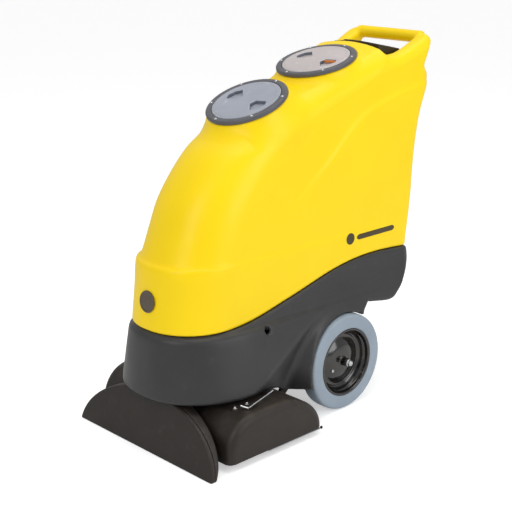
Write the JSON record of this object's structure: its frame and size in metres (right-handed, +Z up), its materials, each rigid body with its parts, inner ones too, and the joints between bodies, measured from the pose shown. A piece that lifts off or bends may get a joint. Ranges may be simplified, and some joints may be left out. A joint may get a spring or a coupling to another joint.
{
  "type": "self-contained carpet extractor",
  "caption": "Walk-behind carpet cleaning machine: moulded tank with screw lids and a pull handle on a wheeled base, with a floating vacuum shoe and a domed brush deck.",
  "frame": {"origin": "on the floor, in the middle of the machine's outline", "axes": "+Z up; -Y towards the nose and the vacuum shoe, +Y towards the handle; +X towards the machine's left side"},
  "size_m": [0.5, 0.9006, 0.935],
  "materials": {
    "yellow_shell": "rotomoulded satin, faint orange peel",
    "dark_shell": "rotomoulded matt, fine grain",
    "black_shell": "moulded satin",
    "grey_tyre": "non-marking rubber",
    "gloss_black": "gloss",
    "lid_ring": "moulded satin",
    "clear_lid": "clear, lightly scuffed",
    "bright_steel": "bright zinc",
    "motor_case": "cast",
    "black_rubber": "matt",
    "grey_hose": "ribbed matt",
    "bristle": "nylon bristle",
    "white_plastic": "moulded",
    "orange_plastic": "moulded",
    "badge": "satin"
  },
  "bodies": {
    "machine": {"tank_body": "yellow_shell", "base_shell": "dark_shell", "axle": "bright_steel", "left_wheel_spacer": "bright_steel", "right_wheel_spacer": "bright_steel", "left_axle_cap": "bright_steel", "right_axle_cap": "bright_steel", "front_lid_ring": "lid_ring", "rear_lid_ring": "lid_ring", "control_panel": "black_shell", "cord_gland": "black_rubber", "power_cord": "black_rubber", "power_plug": "black_rubber", "drain_hose": "grey_hose", "drain_hose_clip": "black_shell", "front_badge": "badge", "left_tank_bolt": "bright_steel", "right_tank_bolt": "bright_steel", "left_shoe_pin": "bright_steel", "right_shoe_pin": "bright_steel", "left_shoe_bracket": "bright_steel", "right_shoe_bracket": "bright_steel", "vac_hose": "grey_hose", "inlet_pipe": "white_plastic", "air_pipe": "white_plastic", "air_hood": "white_plastic", "vac_motor": "motor_case", "pump": "motor_case", "pump_hose": "black_rubber", "deck_pivot_rod": "bright_steel"},
    "left_wheel": {"left_tyre": "grey_tyre", "left_hub": "gloss_black"},
    "right_wheel": {"right_tyre": "grey_tyre", "right_hub": "gloss_black"},
    "vac_shoe": {"shoe_front_shell": "black_shell", "shoe_rear_shell": "black_shell"},
    "brush_deck": {"deck_housing": "black_shell", "left_deck_arm": "bright_steel", "right_deck_arm": "bright_steel", "deck_edge_strip": "bright_steel", "deck_link_rod": "bright_steel", "brush_bearing": "bright_steel", "drive_belt": "black_rubber", "brush_motor": "motor_case", "spray_bar": "bright_steel", "left_nozzle": "orange_plastic", "right_nozzle": "orange_plastic"},
    "brush": {"brush_core": "black_shell", "brush_bristles": "bristle", "brush_pulley": "motor_case"},
    "motor_rotor": {"motor_pulley": "bright_steel"},
    "front_seal": {"front_lid_seal": "black_rubber"},
    "front_lid": {"front_lid": "clear_lid"},
    "rear_seal": {"rear_lid_seal": "black_rubber"},
    "rear_lid": {"rear_lid": "clear_lid"},
    "vacuum_rocker": {"vacuum_switch": "gloss_black"},
    "brush_rocker": {"brush_switch": "gloss_black"},
    "spray_rocker": {"spray_switch": "gloss_black"},
    "hose_cap": {"drain_cap": "black_rubber"},
    "tank_float": {"float_ring": "orange_plastic"}
  },
  "joints": [
    {"name": "left_wheel_spin", "type": "hinge", "parent": "machine", "child": "left_wheel", "pos_m": [0.1615, 0.077, 0.127], "axis": [1, 0, 0], "continuous": true},
    {"name": "right_wheel_spin", "type": "hinge", "parent": "machine", "child": "right_wheel", "pos_m": [-0.1615, 0.077, 0.127], "axis": [1, 0, 0], "continuous": true},
    {"name": "shoe_float", "type": "hinge", "parent": "machine", "child": "vac_shoe", "pos_m": [0, -0.392, 0.15], "axis": [1, 0, 0], "range_deg": [-3, 3], "stiffness_Nm_per_rad": 40},
    {"name": "deck_float", "type": "hinge", "parent": "machine", "child": "brush_deck", "pos_m": [0, -0.04, 0.098], "axis": [-1, 0, 0], "range_deg": [-0.4, 1.5]},
    {"name": "brush_spin", "type": "hinge", "parent": "brush_deck", "child": "brush", "pos_m": [0, -0.31, 0.0505], "axis": [1, 0, 0], "continuous": true},
    {"name": "motor_spin", "type": "hinge", "parent": "brush_deck", "child": "motor_rotor", "pos_m": [0, -0.172, 0.066], "axis": [1, 0, 0], "continuous": true},
    {"name": "front_lid_lift", "type": "slide", "parent": "machine", "child": "front_seal", "axis": [0, -0.3923, 0.9198], "range_m": [0, 0.0081]},
    {"name": "front_lid_turn", "type": "hinge", "parent": "front_seal", "child": "front_lid", "pos_m": [0, -0.102, 0.803], "axis": [0, -0.3923, 0.9198], "range_deg": [0, 720]},
    {"name": "rear_lid_lift", "type": "slide", "parent": "machine", "child": "rear_seal", "axis": [0, -0.2706, 0.9627], "range_m": [0, 0.0081]},
    {"name": "rear_lid_turn", "type": "hinge", "parent": "rear_seal", "child": "rear_lid", "pos_m": [0, 0.141, 0.8795], "axis": [0, -0.2706, 0.9627], "range_deg": [0, 720]},
    {"name": "vacuum_switch_rock", "type": "hinge", "parent": "machine", "child": "vacuum_rocker", "pos_m": [-0.034, 0.36, 0.874], "axis": [-1, 0, 0], "range_deg": [0, 16]},
    {"name": "brush_switch_rock", "type": "hinge", "parent": "machine", "child": "brush_rocker", "pos_m": [0.012, 0.36, 0.874], "axis": [-1, 0, 0], "range_deg": [0, 16]},
    {"name": "spray_switch_rock", "type": "hinge", "parent": "machine", "child": "spray_rocker", "pos_m": [0.058, 0.36, 0.874], "axis": [-1, 0, 0], "range_deg": [0, 16]},
    {"name": "drain_cap_pull", "type": "slide", "parent": "machine", "child": "hose_cap", "axis": [0, 0, 1], "range_m": [0, 0.03]},
    {"name": "float_rise", "type": "slide", "parent": "machine", "child": "tank_float", "axis": [0, 0, 1], "range_m": [0, 0.038]}
  ],
  "couplings": [
    {"joint": "motor_spin", "follows": "brush_spin", "ratio": 2.5},
    {"joint": "front_lid_lift", "follows": "front_lid_turn", "m_per_rad": 0.00063662},
    {"joint": "rear_lid_lift", "follows": "rear_lid_turn", "m_per_rad": 0.00063662}
  ]
}
